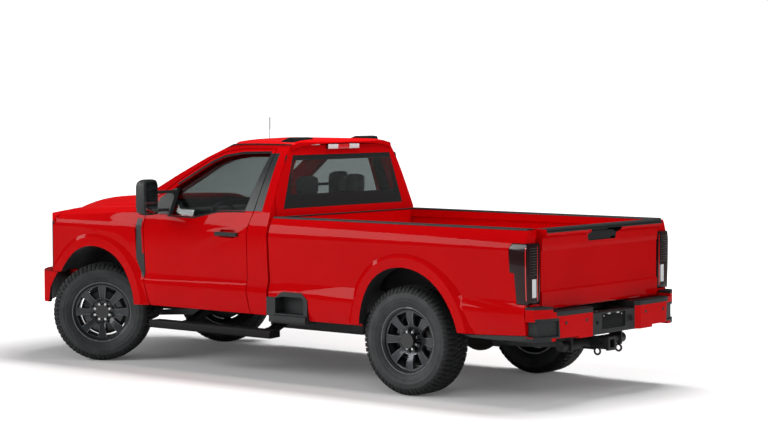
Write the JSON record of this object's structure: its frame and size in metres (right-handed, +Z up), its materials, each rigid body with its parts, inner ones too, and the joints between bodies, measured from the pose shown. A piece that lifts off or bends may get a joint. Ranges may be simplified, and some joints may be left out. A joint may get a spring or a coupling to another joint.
{
  "type": "pickup truck",
  "caption": "Full-size regular-cab pickup truck with a long load bed, turning wheels, linked steering, opening doors, hood and drop tailgate.",
  "frame": {"origin": "middle of the bounding box on the ground between the wheels", "axes": "+X forwards, +Y to the truck's left, +Z up"},
  "size_m": [5.888, 2.67, 2.14],
  "materials": {
    "red_paint": "gloss",
    "window_glass": "tinted",
    "tyre_rubber": "matt",
    "wheel_grey": "satin",
    "lamp_clear": "clear",
    "lamp_red": "smoked",
    "cabin_trim": "matt",
    "black_plastic": "textured",
    "dark_steel": "satin black"
  },
  "bodies": {
    "chassis": {"antenna": "black_plastic", "bed_floor": "red_paint", "bed_header": "red_paint", "bed_side_left": "red_paint", "bed_side_right": "red_paint", "cab_back": "red_paint", "cab_floor": "red_paint", "cab_glass": "window_glass", "cab_roof": "red_paint", "cab_side_left": "red_paint", "cab_side_right": "red_paint", "cowl": "red_paint", "dashboard": "cabin_trim", "driveline": "dark_steel", "engine_block": "dark_steel", "exhaust": "dark_steel", "fender_left": "red_paint", "fender_right": "red_paint", "frame_crossmembers": "dark_steel", "frame_rails": "dark_steel", "front_axle": "dark_steel", "front_bumper": "black_plastic", "fuel_tank": "dark_steel", "grille": "black_plastic", "headlamps": "lamp_clear", "hitch_receiver": "dark_steel", "rail_caps": "black_plastic", "rear_axle": "dark_steel", "rear_bumper": "red_paint", "roof_pods": "black_plastic", "running_boards": "black_plastic", "seat_backs": "cabin_trim", "seat_cushions": "cabin_trim", "seat_frames": "dark_steel", "side_steps": "black_plastic", "spare_wheel": "tyre_rubber", "suspension": "dark_steel", "tail_lamps": "lamp_red"},
    "hood": {"hood": "red_paint"},
    "door_left": {"door_shell_left": "red_paint", "door_glass_left": "window_glass", "door_mirror_left": "black_plastic"},
    "door_right": {"door_shell_right": "red_paint", "door_glass_right": "window_glass", "door_mirror_right": "black_plastic"},
    "tailgate": {"tailgate": "red_paint"},
    "knuckle_left": {"knuckle_left": "dark_steel"},
    "knuckle_right": {"knuckle_right": "dark_steel"},
    "tie_rod": {"tie_rod": "dark_steel"},
    "wheel_front_left": {"rim_front_left": "wheel_grey", "tyre_front_left": "tyre_rubber"},
    "wheel_front_right": {"rim_front_right": "wheel_grey", "tyre_front_right": "tyre_rubber"},
    "wheel_rear_left": {"rim_rear_left": "wheel_grey", "tyre_rear_left": "tyre_rubber"},
    "wheel_rear_right": {"rim_rear_right": "wheel_grey", "tyre_rear_right": "tyre_rubber"},
    "steering_wheel": {"steering_wheel": "black_plastic"}
  },
  "joints": [
    {"name": "steer_left", "type": "hinge", "parent": "chassis", "child": "knuckle_left", "pos_m": [1.974, 0.77, 0.432], "axis": [0, 0, 1], "range_deg": [-73.7, 2.3]},
    {"name": "steer_right", "type": "hinge", "parent": "chassis", "child": "knuckle_right", "pos_m": [1.974, -0.77, 0.432], "axis": [0, 0, 1], "range_deg": [-73.7, 2.3]},
    {"name": "tie_rod_left", "type": "hinge", "parent": "knuckle_left", "child": "tie_rod", "pos_m": [2.10799, 0.86628, 0.34], "axis": [0, 0, 1], "range_deg": [-2.3, 73.7]},
    {"name": "steering_wheel_turn", "type": "hinge", "parent": "chassis", "child": "steering_wheel", "pos_m": [0.838, 0.38, 1.24], "axis": [-0.8988, 0, 0.4384], "range_deg": [-1179.2, 36.8]},
    {"name": "wheel_front_left_spin", "type": "hinge", "parent": "knuckle_left", "child": "wheel_front_left", "pos_m": [1.91273, 0.85527, 0.432], "axis": [-0.5835, 0.8121, 0], "continuous": true},
    {"name": "wheel_front_right_spin", "type": "hinge", "parent": "knuckle_right", "child": "wheel_front_right", "pos_m": [2.03527, -0.85527, 0.432], "axis": [-0.5835, 0.8121, 0], "continuous": true},
    {"name": "wheel_rear_left_spin", "type": "hinge", "parent": "chassis", "child": "wheel_rear_left", "pos_m": [-1.623, 0.853, 0.432], "axis": [0, 1, 0], "continuous": true},
    {"name": "wheel_rear_right_spin", "type": "hinge", "parent": "chassis", "child": "wheel_rear_right", "pos_m": [-1.623, -0.853, 0.432], "axis": [0, 1, 0], "continuous": true},
    {"name": "door_left_swing", "type": "hinge", "parent": "chassis", "child": "door_left", "pos_m": [1.192, 0.98, 0.915], "axis": [0, 0, -1], "range_deg": [0, 66]},
    {"name": "door_right_swing", "type": "hinge", "parent": "chassis", "child": "door_right", "pos_m": [1.192, -0.98, 0.915], "axis": [0, 0, 1], "range_deg": [0, 66]},
    {"name": "hood_lift", "type": "hinge", "parent": "chassis", "child": "hood", "pos_m": [1.44, 0, 1.385], "axis": [0, -1, 0], "range_deg": [0, 45]},
    {"name": "tailgate_drop", "type": "hinge", "parent": "chassis", "child": "tailgate", "pos_m": [-2.765, 0, 0.777], "axis": [0, -1, 0], "range_deg": [0, 90]}
  ],
  "couplings": [
    {"joint": "steer_right", "follows": "steer_left", "ratio": 1},
    {"joint": "tie_rod_left", "follows": "steer_left", "ratio": -1},
    {"joint": "steering_wheel_turn", "follows": "steer_left", "ratio": 16}
  ]
}
